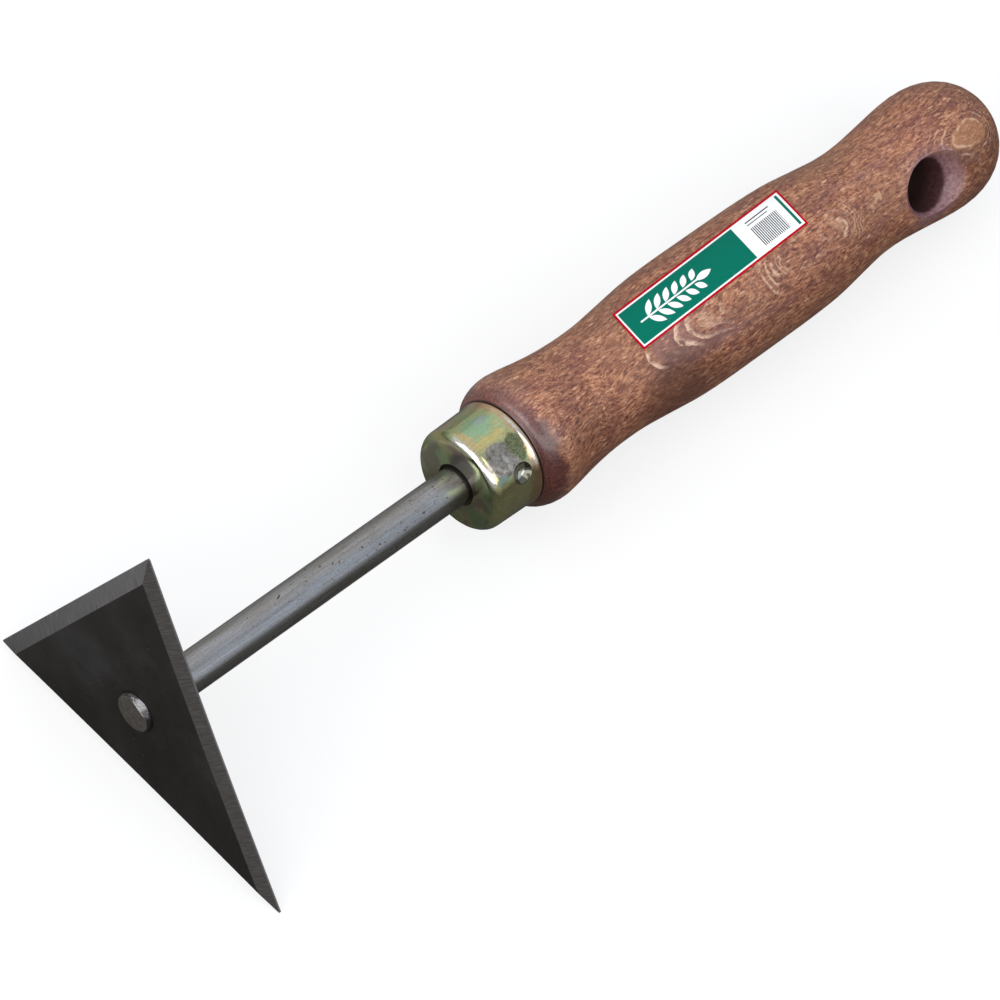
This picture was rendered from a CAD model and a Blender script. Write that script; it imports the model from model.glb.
# A triangular scraper: a steel blade on a straight shank, a plated ferrule and a turned wooden
# handle with a printed label. The tool runs along Z: the blade is at the -Z end, the handle's
# knob at the +Z end, and the hanging hole passes along Y through the origin. Azimuths are degrees
# about Z, from +X towards +Y. The pieces are in metres; materials work in millimetres.
import math
from functools import cached_property, reduce

import bpy
from mathutils import Matrix, Vector


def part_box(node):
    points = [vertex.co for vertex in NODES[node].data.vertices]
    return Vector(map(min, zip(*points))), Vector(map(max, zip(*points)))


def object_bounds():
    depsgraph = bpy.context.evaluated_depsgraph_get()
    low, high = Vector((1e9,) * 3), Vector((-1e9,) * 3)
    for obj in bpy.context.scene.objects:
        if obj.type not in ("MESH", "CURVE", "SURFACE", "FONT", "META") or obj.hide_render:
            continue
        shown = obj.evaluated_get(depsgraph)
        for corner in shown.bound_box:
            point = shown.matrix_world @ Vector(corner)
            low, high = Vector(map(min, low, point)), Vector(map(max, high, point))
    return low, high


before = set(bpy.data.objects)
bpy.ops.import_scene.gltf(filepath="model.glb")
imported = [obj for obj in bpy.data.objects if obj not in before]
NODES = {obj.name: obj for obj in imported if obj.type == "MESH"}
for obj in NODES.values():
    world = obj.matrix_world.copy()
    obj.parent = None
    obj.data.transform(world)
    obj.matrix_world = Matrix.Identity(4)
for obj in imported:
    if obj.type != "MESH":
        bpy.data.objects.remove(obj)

CAD_LOW, CAD_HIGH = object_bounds()
scene = bpy.context.scene

# Heights read from the pieces, mm
BLADE_LOW, BLADE_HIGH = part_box("blade")
FERRULE_LOW, FERRULE_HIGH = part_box("ferrule")
Z_FACE = BLADE_LOW.z * 1000        # outer face of the blade
Z_PLATE = BLADE_HIGH.z * 1000      # its face towards the handle
Z_FRONT = FERRULE_LOW.z * 1000     # ferrule's face towards the blade
Z_RIM = FERRULE_HIGH.z * 1000      # ferrule's rim round the handle

# Label, mm and degrees
LABEL_LENGTH, LABEL_WIDTH = 41.5, 9.45
LABEL_Z = Z_RIM + 66.5             # where the outline's axes cross the tool's axis
LABEL_SIDE = -5.96                 # middle of the label, sideways from there
LABEL_TURN, LABEL_TIP = -123.2, 125.0   # azimuth and tilt of the direction it is cut from
LABEL_LEAN, LABEL_SKEW = 2.4, 8.2       # turn of its long and short sides in the outline's plane


# ---------------------------------------------------------------- node helpers
def around(azimuth, radius=1.0, z=0.0):
    """A point from its azimuth about the tool, radius and height; by default a direction."""
    angle = math.radians(azimuth)
    return (radius * math.cos(angle), radius * math.sin(angle), z)


def grey(level):
    return (level, level, level, 1)


def linear(colour):
    """An sRGB triple 0..255 as linear RGBA; fields and linear RGBA pass unchanged."""
    if isinstance(colour, Field) or len(colour) == 4:
        return colour

    def channel(value):
        value = value / 255.0
        return value / 12.92 if value <= 0.04045 else ((value + 0.055) / 1.055) ** 2.4
    return tuple(channel(value) for value in colour) + (1.0,)


class Field:
    """A number, vector, colour or shader in a node tree; using it adds nodes to the tree."""

    def __init__(self, tree, socket):
        self.tree = tree
        self.socket = socket

    def __add__(self, other):
        return self.tree.arithmetic("ADD", self, other)

    def __radd__(self, other):
        return self.tree.arithmetic("ADD", other, self)

    def __sub__(self, other):
        return self.tree.arithmetic("SUBTRACT", self, other)

    def __rsub__(self, other):
        return self.tree.arithmetic("SUBTRACT", other, self)

    def __mul__(self, other):
        return self.tree.arithmetic("MULTIPLY", self, other)

    def __truediv__(self, other):
        return self.tree.arithmetic("DIVIDE", self, other)

    def __pow__(self, other):
        return self.tree.math("POWER", self, other)

    def __abs__(self):
        return self.tree.math("ABSOLUTE", self)

    def dot(self, axis):
        return self.tree.vector_math("DOT_PRODUCT", self, tuple(axis))

    def distance(self, place):
        return self.tree.vector_math("DISTANCE", self, place)

    def length(self):
        return self.tree.vector_math("LENGTH", self)

    def ellipsoid(self, centre, radii):
        """0 at the centre, 1 on the ellipsoid's surface, more outside."""
        return ((self - centre) / radii).length()

    def noise(self, scale=1.0, detail=2.0, rough=0.5, distortion=0.0, seed=None, output="Fac"):
        inputs = {"Vector": self, "Scale": scale, "Detail": detail, "Roughness": rough,
                  "Distortion": distortion}
        if seed is not None:
            inputs["W"] = seed
        return self.tree.node("ShaderNodeTexNoise", inputs, output,
                              noise_dimensions="3D" if seed is None else "4D")

    def drift(self, scale, rough=0.5):
        """A vector noise centred on zero."""
        return self.noise(scale, rough=rough, output="Color") - (0.5, 0.5, 0.5)

    def voronoi(self, scale=1.0, output="Distance"):
        return self.tree.node("ShaderNodeTexVoronoi", {"Vector": self, "Scale": scale}, output)

    def fade(self, start, end, first=0.0, last=1.0):
        """Goes smoothly from first to last as this goes from start to end."""
        inputs = {"Value": self, "From Min": start, "From Max": end,
                  "To Min": first, "To Max": last}
        return self.tree.node("ShaderNodeMapRange", inputs, "Result",
                              interpolation_type="SMOOTHSTEP", clamp=True)

    def window(self, rise, full, fall, end):
        """0 below rise, 1 from full to fall, 0 above end."""
        return self.fade(rise, full) * self.fade(end, fall)

    def ramp(self, *stops):
        """Colour by value; each stop is a position and a colour."""
        result = self.tree.node("ShaderNodeValToRGB", {0: self}, "Color")
        elements = result.socket.node.color_ramp.elements
        while len(elements) > 1:
            elements.remove(elements[-1])
        elements[0].position = stops[0][0]
        elements[0].color = linear(stops[0][1])
        for position, colour in stops[1:]:
            elements.new(position).color = linear(colour)
        return result

    def mix(self, below, above):
        """With this as the mask: colour below where it is 0, above where it is 1."""
        return self.tree.node("ShaderNodeMix", {0: self, 6: linear(below), 7: linear(above)}, 2,
                              data_type="RGBA", clamp_factor=True)

    def mix_numbers(self, below, above):
        return self.tree.node("ShaderNodeMix", {0: self, 2: below, 3: above}, data_type="FLOAT")

    def bump(self, strength, distance):
        inputs = {"Strength": strength, "Distance": distance, "Height": self}
        return self.tree.node("ShaderNodeBump", inputs, "Normal")


class Tree:
    """The node tree of a material or the world."""

    def __init__(self, owner, output="ShaderNodeOutputMaterial"):
        owner.use_nodes = True
        self.nodes = owner.node_tree.nodes
        self.links = owner.node_tree.links
        self.nodes.clear()
        self.output = self.nodes.new(output)

    def node(self, kind, inputs=None, output=0, **settings):
        """Add a node, set it up and link or fill its inputs; returns one of its outputs."""
        node = self.nodes.new(kind)
        for name, value in settings.items():
            setattr(node, name, value)
        for key, value in (inputs or {}).items():
            if isinstance(value, Field):
                self.links.new(value.socket, node.inputs[key])
            else:
                node.inputs[key].default_value = value
        return Field(self, node.outputs[output])

    def math(self, operation, *operands):
        return self.node("ShaderNodeMath", dict(enumerate(operands)), operation=operation)

    def vector_math(self, operation, *operands):
        number = operation in ("DOT_PRODUCT", "LENGTH", "DISTANCE")
        return self.node("ShaderNodeVectorMath", dict(enumerate(operands)),
                         "Value" if number else "Vector", operation=operation)

    def arithmetic(self, operation, *operands):
        """Vector maths if any operand is a vector or colour field, else plain maths."""
        vectors = any(isinstance(item, Field) and item.socket.type != "VALUE"
                      for item in operands)
        return (self.vector_math if vectors else self.math)(operation, *operands)

    def degrees(self, operation, *operands):
        return self.math("DEGREES", self.math(operation, *operands))

    def maximum(self, *fields):
        return reduce(lambda one, other: self.math("MAXIMUM", one, other), fields)

    def vector(self, x, y, z):
        return self.node("ShaderNodeCombineXYZ", {0: x, 1: y, 2: z})

    @cached_property
    def point(self):
        """The object's own coordinates, mm."""
        place = self.node("ShaderNodeTexCoord", output="Object")
        return self.node("ShaderNodeVectorMath", {0: place, "Scale": 1000.0}, operation="SCALE")

    @cached_property
    def xyz(self):
        first = self.node("ShaderNodeSeparateXYZ", {0: self.point})
        return [Field(self, socket) for socket in first.socket.node.outputs]

    def facing(self, azimuth):
        """Cosine of the angle round the tool from an azimuth."""
        x, y, z = self.xyz
        return self.vector_math("NORMALIZE", self.vector(x, y, 0.0)).dot(around(azimuth))

    def finish(self, shader):
        self.links.new(shader.socket, self.output.inputs["Surface"])

    def principled(self, inputs):
        self.finish(self.node("ShaderNodeBsdfPrincipled", inputs))


def paint(colour, *layers):
    """Lay colours over a first one, each given as (mask, colour)."""
    for mask, tint in layers:
        colour = mask.mix(colour, tint)
    return colour


def material(name, build):
    result = bpy.data.materials.new(name)
    build(Tree(result))
    return result


# ---------------------------------------------------------------- wood
def growth_rings(tree, radius, coarse, medium):
    """Thin pale sheets nearly square to one side, showing as arcs where they graze the surface.

    Returns the masks of the rings and of the heart between them, and the depth in the wood, mm.
    """
    point = tree.point
    z = tree.xyz[2]
    spacing = 0.42
    outward = point.dot(around(-116.0))
    wobble = coarse.dot((1.0, 0.4, 0.0)) * 0.7 + medium.dot((0.6, 1.0, 0.0)) * 0.06
    depth = outward + z * 0.045 + wobble
    count = (depth - 8.75) / spacing
    phase = count - tree.math("ROUND", count)

    # Shown only near the sheets' azimuth; over the waist on one side only, as short crescents
    graze = abs(outward) / radius
    shown = graze.fade(math.cos(math.radians(25)), math.cos(math.radians(13)))
    sideways = point.dot(around(-26.0)) / radius
    shown = shown * tree.maximum(sideways.fade(0.32, 0.20), z.fade(-68.0, -64.0))
    # Strength by depth, from 8 mm (0) to 15 mm (1)
    levels = ((0.0, 0.0), (0.085, 0.0), (0.10, 1.0), (0.135, 1.0), (0.155, 0.05), (0.255, 0.05),
              (0.27, 1.0), (0.36, 0.85), (0.40, 0.40), (0.50, 0.30), (0.56, 0.55), (0.60, 0.75),
              (0.66, 0.6), (0.80, 0.8), (1.0, 0.8))
    level = ((depth - 8.0) / 7.0).ramp(*((place, grey(value)) for place, value in levels))
    behind_front = z.fade(-88.0, -85.8)
    gaps = point.noise(0.34, rough=0.6).fade(0.36, 0.48)
    belly_gaps = point.noise(0.7, rough=0.6, seed=4.0).fade(0.40, 0.56)

    # Each sheet has one crisp side and fades off on the other
    width = depth.fade(9.05, 8.95, first=depth.fade(11.0, 11.6, first=0.58, last=0.26),
                       last=0.72)
    rings = phase.fade(-0.09, -0.02) * phase.fade(width, width * 0.15)
    rings = rings * tree.math("MULTIPLY", shown, level) * (
        behind_front * (gaps * tree.maximum(z.fade(-62.0, -66.0), belly_gaps)))

    near = graze.fade(math.cos(math.radians(36)), math.cos(math.radians(12)))
    heart = depth.window(8.9, 9.2, 10.5, 10.9) * (near * behind_front)
    return rings, heart, depth


def belly_arcs(tree, medium):
    """Groups of arcs along the belly, each group open on one side."""
    x, y, z = tree.xyz
    azimuth = tree.degrees("ARCTAN2", y, x)
    warp = medium * (2.2, 0.0, 2.2)
    mm_per_degree = 0.235
    # Centre azimuth and z, side the arcs bulge to along Z, narrowness of the opening's cosine,
    # then for each arc its radius, half width (mm) and strength
    groups = (
        (-116.4, -46.9, -1.0, 0.55, ((4.7, 0.46, 0.62), (3.1, 0.46, 0.66), (1.7, 0.60, 0.60))),
        (-117.0, -43.8, -1.0, 0.70, ((3.0, 0.24, 0.52), (2.1, 0.24, 0.46))),
        (-113.3, -28.3, 1.0, 0.10, ((1.8, 0.62, 0.70),)),
        (-113.3, -29.0, 1.0, 0.76, ((3.6, 0.20, 0.36), (5.2, 0.24, 0.50), (6.1, 0.24, 0.50),
                                    (6.9, 0.22, 0.40))))
    arcs = []
    for middle, height, bulge, narrow, sizes in groups:
        local = tree.vector((azimuth - middle) * mm_per_degree, 0.0, z - height) + warp
        reach = local.length()
        side = (local.dot((0.0, 0.0, bulge)) / reach).fade(narrow - 0.12, narrow + 0.10)
        for size, half_width, strength in sizes:
            line = abs(reach - size).fade(half_width, half_width * 0.20)
            arcs.append(line * side * strength)
    return tree.maximum(*arcs)


def ray_flecks(tree, colour, grain_space):
    """Short dashes along the fibre, three sizes pale and two dark."""
    # Cells per mm, radii where a fleck starts and is full (cells), strength, colour, offset
    # of the pattern, share of cells left empty
    kinds = ((0.80, 0.24, 0.15, 0.85, (226, 180, 146), 0.0, 0.55),
             (1.15, 0.27, 0.15, 0.70, (216, 162, 128), 17.0, 0.30),
             (1.70, 0.30, 0.15, 0.55, (206, 148, 114), 29.0, 0.10),
             (1.30, 0.26, 0.12, 0.45, (84, 40, 34), 41.0, 0.30),
             (2.00, 0.30, 0.15, 0.40, (96, 50, 42), 63.0, 0.10))
    for scale, start, full, strength, tint, offset, empty in kinds:
        cells = (grain_space * (scale, scale, scale * 0.30)
                 + (offset, offset * 0.7, offset * 1.3))
        fleck = cells.voronoi().fade(start, full)
        chance = tree.node("ShaderNodeSeparateColor", {0: cells.voronoi(output="Color")})
        amount = chance.fade(empty, empty + 0.45, last=strength)
        colour = (fleck * amount).mix(colour, tint)
    return colour


def shoulder_stain(tree, colour, aside, fibre):
    """Darker, redder stain round the shoulder behind the ferrule, deepest on one side."""
    def by_side(first=0.0, last=1.0):
        return aside.fade(0.2, 0.9, first=first, last=last)

    uneven = (tree.point.noise(0.35) - 0.5) * 5.0
    stain = (tree.xyz[2] + uneven).fade(by_side(Z_RIM + 3.6, Z_RIM + 5.2),
                                        by_side(Z_RIM + 1.4, Z_RIM + 3.0))
    tint = fibre.fade(0.40, 0.60).mix(by_side().mix((70, 30, 34), (50, 17, 14)),
                                      by_side().mix((114, 62, 66), (88, 40, 34)))
    return (stain * by_side(0.72, 0.94)).mix(colour, tint)


def hanging_hole(tree, colour):
    """Stained mouths at both ends of the hole and a wall that darkens inwards."""
    x, y, z = tree.xyz
    radius = tree.math("SQRT", x ** 2.0 + z ** 2.0)
    depth = abs(y)
    lit = (z + x * 0.8).fade(-3.0, 3.0)
    mouth = radius.fade(9.6, 8.2) * depth.fade(6.0, 9.0) * (0.25 + lit * 0.75)
    inside = radius.fade(7.6, 6.2)
    mottle = tree.point.noise(1.2, detail=3.0, rough=0.6)
    wall = mottle.ramp((0.35, (106, 72, 76)), (0.65, (148, 112, 116)))
    deep = mottle.ramp((0.35, (60, 34, 34)), (0.65, (86, 54, 52)))
    inner = depth.fade(10.6, 9.4).mix(wall, depth.fade(8.5, 2.5).mix(deep, (50, 31, 28)))
    return paint(colour, (mouth * 0.70, wall), (inside, inner))


def wood(tree):
    point = tree.point
    x, y, z = tree.xyz
    radius = tree.math("SQRT", x ** 2.0 + y ** 2.0)
    coarse = point.drift(0.11)
    medium = point.drift(0.45)
    rings, heart, depth = growth_rings(tree, radius, coarse, medium)

    # Fibre direction wanders, most of all behind the front shoulder
    side = point.dot(around(-85.0)).fade(6.0, 12.0)
    wander = 1.8 + z.fade(-86.0, -98.0) * side * 4.0
    grain_space = point + point.drift(0.10) * tree.vector(wander, wander, 2.0)
    fibre = (grain_space * (1.75, 1.75, 0.50)).noise(detail=4.0, rough=0.66)
    fine_fibre = (grain_space * (3.3, 3.3, 1.15)).noise(rough=0.6)
    mottle = (point * (0.22, 0.22, 0.12)).noise(detail=3.0, rough=0.6)
    tone = (point * (0.10, 0.10, 0.05)).noise(seed=3.1)
    colour = paint(
        fibre.ramp((0.31, (62, 28, 24)), (0.42, (118, 62, 46)), (0.50, (160, 100, 71)),
                   (0.58, (190, 131, 97)), (0.68, (220, 172, 138))),
        (fine_fibre.fade(0.40, 0.66, last=0.45), (192, 138, 103)),
        (fine_fibre.fade(0.48, 0.32, last=0.45), (88, 44, 36)),
        (mottle.fade(0.34, 0.62, first=0.50, last=0.0), (106, 60, 58)),
        (tone.fade(0.45, 0.68, last=0.22), (150, 112, 84)),
        (heart * 0.58, (138, 98, 94)))

    # Pale blotches: place and radius in mm, strength
    warped = point + medium * (5.0, 5.0, 5.0)
    for place, size, strength in (((-6.6, -12.1, -28.7), 1.9, 0.42),
                                  ((-5.2, -11.1, -14.8), 1.25, 0.85),
                                  ((-5.0, -11.4, -16.6), 0.8, 0.7)):
        blotch = warped.distance(place).fade(size * 1.25, size * 0.75)
        colour = (blotch * strength).mix(colour, (204, 158, 124))
    # A pale cap where the knob reaches furthest through the rings
    cap = depth.fade(14.05, 14.2) * z.fade(4.0, 8.0)
    colour = (cap * 0.52).mix(colour, (204, 146, 100))
    colour = ray_flecks(tree, colour, grain_space)

    # A dark smoky patch on the side of the waist
    aside = tree.facing(-72.0)
    drifted = point + coarse * (9.0, 9.0, 14.0)
    smoke = drifted.ellipsoid(around(-68.0, 13.4, -78.0), (9.5, 9.5, 12.0)).fade(1.25, 0.45)
    colour = (smoke * 0.60).mix(colour, (72, 38, 32))

    # The tone is deeper along one side and in four patches:
    # azimuth, z, radius in X and Y, radius in Z, strength
    dull = aside.fade(0.50, 0.98) * 0.26
    for azimuth, height, across, along, strength in (
            (-98.0, -103.5, 14.0, 6.0, 0.20), (-88.0, -30.0, 11.0, 16.0, 0.06),
            (-110.0, 15.0, 17.0, 11.0, 0.28), (-160.0, -24.0, 8.0, 16.0, 0.10)):
        patch = drifted.ellipsoid(around(azimuth, 13.5, height), (across, across, along))
        dull = dull + patch.fade(1.3, 0.5, last=strength)
    colour = dull.mix(colour, colour * (0.36, 0.32, 0.30))
    # Fine speckle in brightness
    speckle = point.noise(4.5, rough=0.7, seed=6.0).fade(0.30, 0.70, first=0.76, last=1.26)
    colour = colour * tree.vector(speckle, speckle, speckle)

    arcs = belly_arcs(tree, medium)
    broken = point.noise(1.0, rough=0.6, seed=8.0).fade(0.36, 0.52, first=0.20)
    by_height = (z.fade(-66.0, -60.0, first=0.86, last=0.35)
                 * z.fade(0.0, 6.0, first=1.0, last=1.75))
    colour = paint(
        colour,
        (arcs * broken, fine_fibre.fade(0.36, 0.60).mix((202, 154, 124), (232, 196, 166))),
        (rings * by_height, fine_fibre.fade(0.36, 0.60).mix((204, 158, 130), (236, 204, 178))))
    colour = shoulder_stain(tree, colour, aside, fine_fibre)
    colour = hanging_hole(tree, colour)
    # The spigot and the socket inside the ferrule, seen only through the gaps, are dark
    colour = z.fade(Z_RIM + 0.35, Z_RIM + 0.15).mix(
        colour, radius.fade(10.9, 11.3).mix((26, 15, 12), (62, 34, 30)))

    # The coat is glossier near the ferrule
    glossy = (Z_RIM + 8.0, Z_RIM + 4.0)
    tree.principled({
        "Base Color": colour,
        "Roughness": fibre.fade(0.3, 0.7, first=0.42, last=0.54),
        "Normal": (fibre * 0.55 + fine_fibre * 0.45).bump(strength=0.50, distance=0.00014),
        "IOR": 1.46,
        "Coat Weight": z.fade(*glossy, first=0.22, last=0.95),
        "Coat Roughness": z.fade(*glossy, first=0.28, last=0.17),
        "Coat Normal": fibre.bump(strength=0.12, distance=0.0001)})


# ---------------------------------------------------------------- metals
def blade_steel(tree):
    point = tree.point
    normal = tree.node("ShaderNodeNewGeometry", output="True Normal")
    tilt = normal.dot((0.0, 0.0, 1.0))
    ground = tilt.window(-0.992, -0.975, -0.55, -0.25)   # the bevels
    edge = abs(tilt).fade(0.25, 0.15)                    # the upright edges
    cloud = point.noise(0.05, detail=3.0, rough=0.55)
    blotch = point.noise(0.22, detail=3.0, rough=0.6)
    fine = point.noise(2.2, detail=3.0, rough=0.65)
    speck = point.voronoi(0.55)
    colour = paint(
        cloud.ramp((0.35, (54, 51, 49)), (0.55, (63, 60, 58)), (0.72, (76, 75, 77))),
        (blotch.fade(0.45, 0.7, last=0.30), (50, 42, 38)),
        (fine.fade(0.42, 0.72) * 0.30, (82, 76, 72)),
        (speck.fade(0.09, 0.04) * 0.5, (150, 148, 144)))

    # Bevels: bright fresh grinding, its marks running across each edge. The blade's own axis
    # is at this azimuth; the sloping bevels' marks turn from it by arctan(0.447 / 0.894).
    axis = around(-29.7)
    cos, sin = axis[:2]
    along = point.dot((-sin, cos, 0.0))
    out = point.dot(axis)
    base = normal.dot(axis).fade(-0.25, -0.35)
    side = point.dot((cos * 0.894 - sin * 0.447, sin * 0.894 + cos * 0.447, 0.0))
    mirrored = point.dot((cos * 0.894 + sin * 0.447, sin * 0.894 - cos * 0.447, 0.0))
    base_marks = tree.vector(along * 2.6, out * 0.18, 0.0).noise(detail=3.0, rough=0.7)
    side_marks = tree.vector(side * 2.6, mirrored * 0.5, 3.0).noise(detail=3.0, rough=0.7)
    marks = base.mix_numbers(side_marks, base_marks)
    glow = along.fade(25.0, -33.0, first=1.05, last=1.27)
    bevel = base.mix(
        marks.ramp((0.30, (108, 104, 102)), (0.5, (124, 120, 118)), (0.7, (142, 138, 136))),
        marks.ramp((0.30, (114, 111, 114)), (0.5, (133, 130, 133)), (0.7, (154, 151, 154)))
        * tree.vector(glow, glow, glow))
    colour = paint(colour, (ground, bevel), (edge * 0.6, (150, 148, 146)))

    height = ground.mix_numbers(fine * 0.5 + blotch * 1.2, marks * 0.6)
    tree.principled({
        "Base Color": colour,
        "Metallic": 0.75 + ground * 0.2,
        "Roughness": 0.50 - ground * 0.10 + fine * 0.12,
        "Normal": height.bump(strength=0.22, distance=0.0001)})


def shank_steel(tree):
    point = tree.point
    z = tree.xyz[2]
    streak = (point * (2.6, 2.6, 0.06)).noise(detail=3.0, rough=0.65)
    cloud = (point * (0.35, 0.35, 0.10)).noise(detail=3.0, rough=0.6)
    fine = (point * (6.0, 6.0, 2.0)).noise(rough=0.6)
    by_ferrule = (z + (cloud - 0.5) * 5.0).fade(Z_FRONT - 9.0, Z_FRONT - 0.5, last=0.42)
    colour = paint(
        streak.ramp((0.3, (158, 156, 154)), (0.5, (176, 175, 175)), (0.7, (194, 194, 196))),
        (cloud.fade(0.42, 0.66, last=0.40), (154, 146, 136)),
        (fine.fade(0.60, 0.35, last=0.30), (112, 108, 102)),
        (by_ferrule, (66, 68, 64)))
    # One side of the bar is dirtier than the rest
    dirty = tree.facing(-52.0).fade(0.74, 0.84)
    colour = (dirty * z.fade(Z_FACE + 0.2, Z_PLATE + 1.0)).mix(
        colour, colour * (0.74, 0.73, 0.70))
    # Small rust specks, thicker towards the ferrule
    near = z.fade(Z_PLATE + 4.0, Z_PLATE + 48.0, first=0.50)
    spot = (point * (1.5, 1.5, 1.0)).noise(detail=3.0, rough=0.62, seed=8.0)
    threshold = 0.760 - near * 0.143
    rust = spot.fade(threshold, threshold + 0.03)
    colour = (rust * 0.88).mix(colour, (96, 54, 36))

    # The head beyond the blade's outer face: its flat end is duller and browner than the bar
    head = z.fade(Z_FACE + 0.3, Z_FACE)
    mottle = point.noise(0.9, detail=3.0, rough=0.6)
    flat = head * z.fade(Z_FACE - 1.10, Z_FACE - 1.17)
    colour = (flat * 0.75).mix(
        colour, mottle.ramp((0.35, (150, 142, 134)), (0.6, (186, 178, 170))))
    # The rest of the head is brightest in one place
    facet = head * (1.0 - flat)
    shine = (point * (1.0, 1.0, 0.6)).distance((-2.55, -2.95, -129.0)).fade(
        0.7, 1.7, first=1.0, last=0.30)
    colour = facet.mix(colour, colour * tree.vector(shine, shine, shine * 1.03))

    tree.principled({
        "Base Color": colour,
        "Metallic": 0.95,
        "Roughness": 0.25 + rust * 0.3 + fine * 0.08 - (head - flat) * 0.12,
        "Normal": (streak + fine * 0.25 + rust * 0.5).bump(strength=0.16, distance=0.00012)})


def zinc(tree):
    """Zinc plate under a chromate film: olive and straw with green, teal, rose and violet."""
    point = tree.point
    x, y, z = tree.xyz
    azimuth = tree.degrees("ARCTAN2", y, x)
    warp = point.drift(0.35, rough=0.55)
    uneven_azimuth = azimuth + warp.dot((1.0, 0.0, 0.0)) * 16.0
    uneven_z = z + warp.dot((0.0, 1.0, 0.0)) * 3.0
    unrolled = tree.vector(uneven_azimuth, uneven_z, 0.0)

    def patch(middle, height, half_width, half_height, soft):
        """An uneven oval on the ferrule's side; width in degrees, height in mm."""
        oval = unrolled.ellipsoid((middle, height, 0.0), (half_width, half_height, 1.0))
        return oval.fade(1.0 + soft, 1.0 - soft)

    def patches(*rows):
        """Layers from rows of: azimuth, z, half width, half height, softness, strength, colour."""
        return [(patch(*row[:5]) * row[5], row[6]) for row in rows]

    big = point.noise(0.16, distortion=0.5)
    fine = point.noise(2.4, detail=3.0, rough=0.65)
    streak = (point * (1.8, 1.8, 0.35)).noise(detail=3.0, rough=0.6)
    grain = point.noise(3.4, detail=3.0, rough=0.75, seed=1.0)
    # A grey grained patch with an olive strip beside it, cut off at the same azimuth
    dots = patch(-116, -124.6, 19, 4.0, 0.08) * uneven_azimuth.fade(-136.5, -134.0)
    strip = patch(-120, -120.4, 15, 1.7, 0.12) * uneven_azimuth.fade(-136.5, -134.0)
    dot_tone = grain * 0.35 + point.noise(1.1, rough=0.6, seed=2.0) * 0.65
    colour = paint(
        big.ramp((0.30, (212, 184, 164)), (0.40, (214, 200, 150)), (0.48, (202, 204, 144)),
                 (0.56, (184, 200, 140)), (0.66, (174, 204, 162)), (0.76, (196, 192, 186))),
        *patches((-160, -123.5, 24, 6.0, 0.25, 0.70, (204, 216, 160)),
                 (-163, -123.4, 12, 3.4, 0.2, 0.85, (168, 214, 172)),
                 (-165, -122.0, 6, 1.6, 0.2, 0.75, (186, 204, 198)),
                 (-142, -124.4, 5, 4.4, 0.25, 0.80, (236, 214, 138)),
                 (-155, -128.0, 18, 1.1, 0.25, 0.75, (238, 206, 150))),
        (dots * 0.92, dot_tone.ramp((0.34, (92, 80, 76)), (0.50, (164, 150, 144)),
                                    (0.64, (206, 198, 190)))),
        (strip * 0.88, grain.fade(0.42, 0.58).mix((70, 76, 44), (150, 160, 104))),
        *patches((-98, -126.6, 5, 1.6, 0.2, 0.7, (140, 176, 168)),
                 (-60, -124.6, 28, 7.5, 0.35, 0.85, (240, 238, 176)),
                 (-60, -119.4, 16, 1.4, 0.35, 0.70, (216, 162, 108)),
                 (30, -123.4, 26, 3.2, 0.35, 0.6, (160, 200, 156)),
                 (100, -124.0, 18, 3.0, 0.35, 0.6, (214, 176, 148))),
        # Rose towards the rim
        (uneven_z.fade(Z_RIM - 2.1, Z_RIM - 1.5) * 0.60, (236, 176, 150)))

    # The film is rubbed white along the front corner and the crest of the lip
    corner = (z.window(Z_FRONT + 0.15, Z_FRONT + 0.5, Z_FRONT + 1.0, Z_FRONT + 1.6)
              * azimuth.window(-176.0, -166.0, -100.0, -92.0))
    lip = (z.window(Z_RIM - 1.35, Z_RIM - 1.15, Z_RIM - 0.8, Z_RIM - 0.6)
           * (uneven_azimuth.fade(-160.0, -148.0) * azimuth.fade(-88.0, -98.0)))
    # Front face: dull olive-green with plum zones, and a dark spot on one side of the hole
    face = z.fade(Z_FRONT + 0.35, Z_FRONT + 0.12)
    plum = face * point.noise(0.22, seed=5.0).fade(0.46, 0.60)
    spot = face * tree.vector(x, y, 0.0).distance(around(-140.0, 5.6)).fade(4.6, 2.8)
    # The dimple at azimuth -94: pale, with all but one side smoked dark
    dimple = tree.vector((azimuth + 94.0) * 0.2, z - (Z_RIM - 4.7), 0.0)
    smoked = dimple.length().fade(2.40, 2.25) * dimple.distance((-0.80, -0.50, 0.0)).fade(
        1.70, 2.10)
    colour = paint(
        colour,
        (tree.maximum(corner, lip) * 0.85, (240, 238, 232)),
        (face * 0.8, big.fade(0.42, 0.60).mix((226, 226, 176), (188, 218, 166))),
        (plum * 0.60, (172, 140, 150)),
        (spot * 0.85, (122, 110, 114)),
        (dimple.length().fade(2.3, 1.9) * 0.6, (240, 240, 236)),
        (smoked * 0.88, (58, 64, 58)),
        (fine.fade(0.58, 0.36, last=0.25), (140, 134, 100)),
        (streak.fade(0.60, 0.40, last=0.18), (146, 138, 110)))

    height = fine * 0.25 + streak * 0.4 + point.noise(0.30, detail=1.0) * 3.0
    # The film on the -X half of the face is cloudier than elsewhere
    haze = face * x.fade(1.0, -2.5)
    tree.principled({
        "Base Color": colour,
        "Metallic": 1.0 - haze * 0.18,
        "Roughness": 0.04 + fine * 0.10 + dots * 0.16,
        "Normal": height.bump(strength=0.22, distance=0.00012),
        "Coat Weight": 0.35,
        "Coat Roughness": 0.05,
        "Coat IOR": 1.55})


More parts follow.
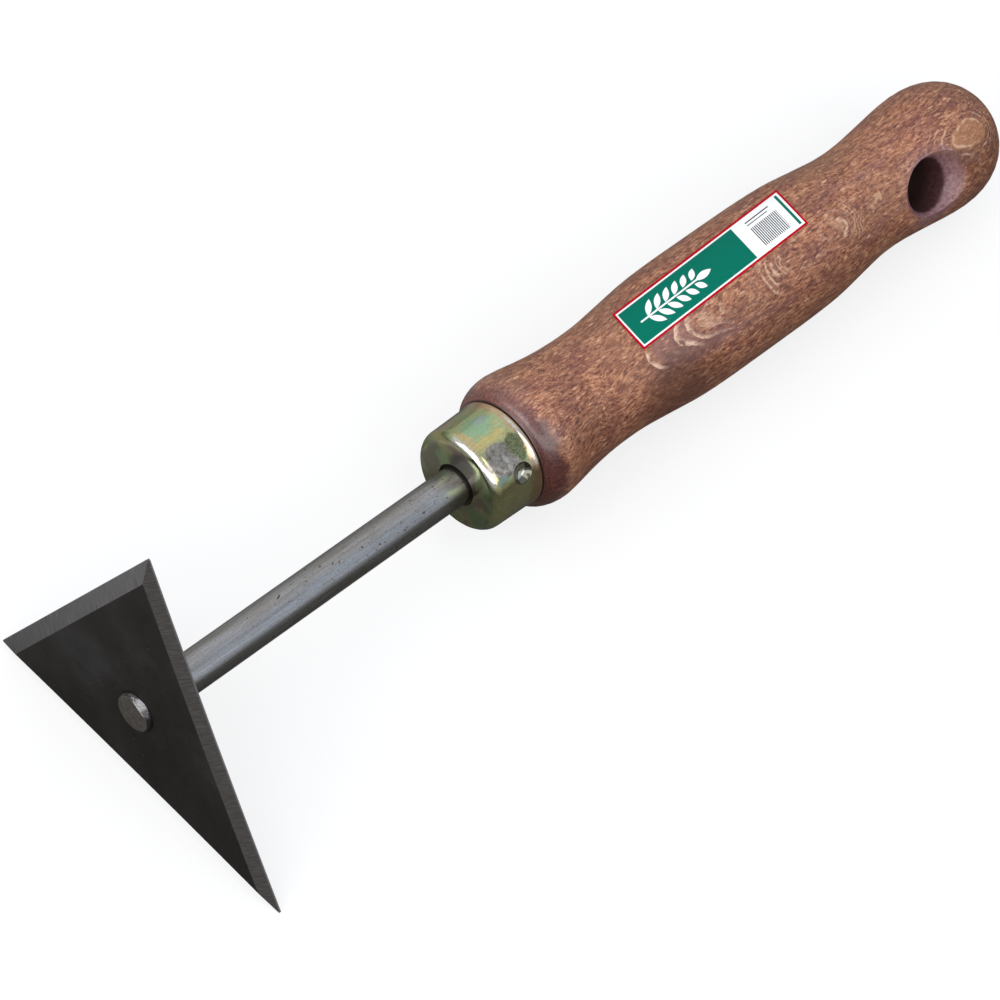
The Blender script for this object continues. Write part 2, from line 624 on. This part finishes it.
# ---------------------------------------------------------------- label
def label_axes(tree):
    """Distances from the label's middle, mm: towards the handle's end, and across."""
    turn_cos, turn_sin = around(LABEL_TURN)[:2]
    tip_cos = math.cos(math.radians(LABEL_TIP))
    tip_sin = math.sin(math.radians(LABEL_TIP))
    # Plane of the outline, square to the direction it is cut from
    plane_x = Vector((tip_cos * turn_cos, tip_cos * turn_sin, -tip_sin))
    plane_y = Vector((-turn_sin, turn_cos, 0.0))
    lean, skew = math.radians(LABEL_LEAN), math.radians(LABEL_SKEW)
    long_side = Vector((-math.cos(lean), -math.sin(lean)))
    short_side = Vector((-math.sin(skew), math.cos(skew)))
    area = long_side.x * short_side.y - long_side.y * short_side.x
    flat_x = tree.point.dot(plane_x) - LABEL_Z * plane_x.z
    flat_y = tree.point.dot(plane_y) - LABEL_Z * plane_y.z - LABEL_SIDE
    return ((flat_x * short_side.y - flat_y * short_side.x) / area,
            (flat_y * long_side.x - flat_x * long_side.y) / area)


def label_film(tree):
    along, across = label_axes(tree)
    end, side = LABEL_LENGTH / 2, LABEL_WIDTH / 2
    soft = 0.04   # half width of every printed edge's blur
    red, white, green, ink = (184, 2, 28), (252, 253, 252), (0, 112, 92), (34, 34, 36)

    def box(start, stop, low, high):
        return (along.window(start - soft, start + soft, stop - soft, stop + soft)
                * across.window(low - soft, low + soft, high - soft, high + soft))

    def leaf(middle, offset, half_length, half_width, angle):
        """Two arcs meeting at points."""
        cos, sin = around(angle)[:2]
        right, up = along - middle, across - offset
        lengthwise = (right * cos + up * sin) / half_length
        widthwise = (up * cos - right * sin) / half_width
        return (lengthwise ** 2.0 + abs(widthwise)).fade(1.1, 0.9)

    # A sprig on the green panel: a stem, six pairs of leaves and one at the tip
    sprig = -end + 10.6
    leaves = [box(sprig - 7.4, sprig + 6.6, -0.17, 0.17)]
    for i in range(6):
        root = sprig - 5.4 + i * 2.15
        for sign in (1, -1):
            leaves.append(leaf(root + 1.05, sign * 1.42, 1.75 - 0.10 * i, 0.62, sign * 48.0))
    leaves.append(leaf(sprig + 8.1, 0.0, 1.9, 0.72, 0.0))

    # A ruled block and two rules on the white panel
    start, stop = end - 9.6, end - 3.1
    pitch = 0.42
    stripes = abs(tree.math("FRACT", (along - start) * (1.0 / pitch)) - 0.5).fade(0.30, 0.20)
    bars = box(start, stop, -side + 3.15, side - 1.6) * stripes
    rules = tree.maximum(box(start, stop - 0.6, -side + 1.55, -side + 1.78),
                         box(start, stop - 1.4, -side + 2.25, -side + 2.42))

    wear = tree.point.noise(0.8, detail=3.0, rough=0.6)
    colour = paint(
        box(-end + 0.44, end - 0.44, -side + 0.46, side - 0.46).mix(red, white),
        (box(-end + 0.74, -end + 0.70 * LABEL_LENGTH, -side + 0.78, side - 0.78), green),
        (box(end - 1.52, end - 0.92, -side + 0.85, side - 0.85), green),
        (tree.maximum(*leaves), white),
        (tree.maximum(bars, rules), ink),
        (wear.fade(0.60, 0.85, last=0.05), (205, 200, 190)))
    tree.principled({
        "Base Color": colour,
        "Roughness": wear.fade(0.3, 0.7, first=0.42, last=0.52),
        "Normal": wear.bump(strength=0.10, distance=0.0001),
        "Specular IOR Level": 0.08})


# ---------------------------------------------------------------- the pieces
FINISHES = {"handle": ("handle_wood", wood), "blade": ("blade_steel", blade_steel),
            "shank": ("shank_steel", shank_steel), "ferrule": ("zinc_plate", zinc),
            "label": ("label_film", label_film)}
MATERIALS = {piece: material(*finish) for piece, finish in FINISHES.items()}

for piece, node in NODES.items():
    node.data.materials.clear()
    node.data.materials.append(MATERIALS[piece])
    # The blade keeps flat faces and crisp bevels
    flat = piece == "blade"
    node.data.polygons.foreach_set("use_smooth", [not flat] * len(node.data.polygons))
    weld = node.modifiers.new("weld", "WELD")
    weld.merge_threshold = 2e-6
    split = node.modifiers.new("split", "EDGE_SPLIT")
    split.split_angle = math.radians(8 if flat else 32)

# ---------------------------------------------------------------- stage directions
# The tool lies on the long edge of its blade and on its knob; UP is square to that floor
UP = Vector((-0.83123, -0.55509, -0.03048)).normalized()
CENTRE = (CAD_LOW + CAD_HIGH) / 2
CAMERA_PLACE = (-0.422998, -0.63328, -0.583876)
CAMERA_TURN = Matrix(((0.243647, -0.84137, -0.482423),
                      (-0.675424, 0.209766, -0.706965),
                      (0.696016, 0.49809, -0.517173)))
CAMERA_BACK = CAMERA_TURN.col[2].copy()
# Level directions from the tool: towards the camera, and to the camera's right
TO_CAMERA = (CAMERA_BACK - UP * CAMERA_BACK.dot(UP)).normalized()
RIGHT = UP.cross(TO_CAMERA).normalized()

# ---------------------------------------------------------------- floor
FLOOR_HALF = 4.0
lowest = min(UP.dot(vertex.co) for node in NODES.values() for vertex in node.data.vertices)
FLOOR_X = UP.orthogonal().normalized()
FLOOR_Y = UP.cross(FLOOR_X).normalized()
FLOOR_PLACE = CENTRE + UP * (lowest - UP.dot(CENTRE))


def floor_pale(tree):
    """Pale to the camera, dimmer in reflections, and clear from below."""
    camera_ray = tree.node("ShaderNodeLightPath", output="Is Camera Ray")
    below = tree.node("ShaderNodeNewGeometry", output="Backfacing")
    grain = tree.point.noise(0.02)
    pale = tree.node("ShaderNodeBsdfDiffuse",
                     {0: grain.ramp((0.3, grey(0.25)), (0.7, grey(0.265)))})
    glow = tree.node("ShaderNodeEmission", {"Color": grey(1), "Strength": 0.74})
    seen = tree.node("ShaderNodeAddShader", {0: pale, 1: glow})
    # In reflections the floor is dim under the tool and brighter towards this azimuth
    bright = Vector(around(123.7))
    reach = (tree.point.dot((FLOOR_X.dot(bright), FLOOR_Y.dot(bright), 0.0))
             + FLOOR_PLACE.dot(bright) * 1000)
    reflected = tree.node("ShaderNodeBsdfDiffuse", {
        0: reach.fade(12.0, 60.0).mix((0.100, 0.098, 0.090, 1), (0.27, 0.267, 0.25, 1))})
    above = tree.node("ShaderNodeMixShader", {0: camera_ray, 1: reflected, 2: seen})
    clear = tree.node("ShaderNodeBsdfTransparent")
    tree.finish(tree.node("ShaderNodeMixShader", {0: below, 1: above, 2: clear}))


def build_floor():
    mesh = bpy.data.meshes.new("floor")
    corners = [(x * FLOOR_HALF, y * FLOOR_HALF, 0)
               for x, y in ((-1, -1), (1, -1), (1, 1), (-1, 1))]
    mesh.from_pydata(corners, [], [(0, 1, 2, 3)])
    floor = bpy.data.objects.new("floor", mesh)
    scene.collection.objects.link(floor)
    basis = Matrix((FLOOR_X, FLOOR_Y, UP)).transposed().to_4x4()
    basis.translation = FLOOR_PLACE
    floor.matrix_world = basis
    mesh.materials.append(material("floor_pale", floor_pale))


build_floor()


# ---------------------------------------------------------------- world
def sky(tree):
    """Graded sky with a bright band behind the camera; the camera itself sees plain white."""
    ray = tree.node("ShaderNodeTexCoord", output="Generated")
    # Degrees above the floor, and round from the camera's side towards its right
    elevation = tree.degrees("ARCSINE", ray.dot(UP))
    azimuth = tree.degrees("ARCTAN2", ray.dot(RIGHT), ray.dot(TO_CAMERA))
    elevation = elevation + (ray.noise(5.0, detail=3.0, rough=0.6) - 0.5) * 10.0
    azimuth = azimuth + (ray.noise(4.0, seed=2.0) - 0.5) * 16.0

    base = ((elevation + 90.0) / 180.0).ramp(
        (0.0, (0.10, 0.098, 0.09, 1)), (0.50, (0.15, 0.148, 0.14, 1)),
        (0.56, (0.40, 0.405, 0.41, 1)), (0.64, (0.66, 0.675, 0.70, 1)),
        (0.80, (0.70, 0.725, 0.77, 1)), (1.0, (0.68, 0.71, 0.76, 1)))
    band = elevation.window(20.0, 24.0, 43.0, 50.0) * azimuth.window(-84.0, -77.0, 52.0, 60.0)
    high = elevation.window(20.0, 34.0, 76.0, 84.0) * azimuth.window(34.0, 42.0, 80.0, 88.0)
    right = azimuth.window(58.0, 74.0, 132.0, 150.0) * elevation.fade(6.0, 16.0)
    far = abs(azimuth).fade(128.0, 144.0) * elevation.window(-14.0, -4.0, 16.0, 34.0)
    low = azimuth.window(100.0, 120.0, 150.0, 160.0) * elevation.fade(14.0, 6.0)
    colour = paint(
        base,
        (right, (0.52, 0.59, 0.70, 1)),
        (far * 0.8, (0.50, 0.495, 0.48, 1)),
        (tree.maximum(band, high * 0.8), (2.7, 2.72, 2.75, 1)),
        (low * 0.6, (0.10, 0.10, 0.095, 1)))
    lighting = tree.node("ShaderNodeBackground", {"Color": colour, "Strength": 1.0})
    plain = tree.node("ShaderNodeBackground", {"Color": grey(1), "Strength": 1.0})
    camera_ray = tree.node("ShaderNodeLightPath", output="Is Camera Ray")
    tree.finish(tree.node("ShaderNodeMixShader", {0: camera_ray, 1: lighting, 2: plain}))


scene.world = bpy.data.worlds.new("world")
sky(Tree(scene.world, "ShaderNodeOutputWorld"))


# ---------------------------------------------------------------- camera, light and render
def add_camera():
    lens = bpy.data.cameras.new("camera")
    camera = bpy.data.objects.new("camera", lens)
    scene.collection.objects.link(camera)
    camera.matrix_world = Matrix.Translation(CAMERA_PLACE) @ CAMERA_TURN.to_4x4()
    lens.sensor_width = 36.0
    lens.lens = 163.6187
    lens.shift_x = -0.0005
    lens.shift_y = 0.0005
    lens.clip_start = 0.01
    lens.clip_end = 50
    scene.camera = camera


def add_key_light(direction, distance, size, power, colour):
    lamp = bpy.data.lights.new("key", "AREA")
    lamp.shape = "DISK"
    lamp.size = size
    lamp.energy = power
    lamp.color = colour
    light = bpy.data.objects.new("key", lamp)
    scene.collection.objects.link(light)
    direction = direction.normalized()
    light.location = CENTRE + direction * distance
    light.rotation_mode = "QUATERNION"
    light.rotation_quaternion = (-direction).to_track_quat("-Z", "Y")


add_camera()
# From above, on the camera's side and to its left
add_key_light(direction=UP * 0.75 + TO_CAMERA * 0.5 - RIGHT * 0.45, distance=1.6, size=0.7,
              power=3.0, colour=(1.0, 0.99, 0.97))

scene.view_settings.view_transform = "Standard"
scene.view_settings.look = "None"
scene.view_settings.exposure = 0.0
scene.cycles.max_bounces = 6
scene.cycles.use_denoising = True
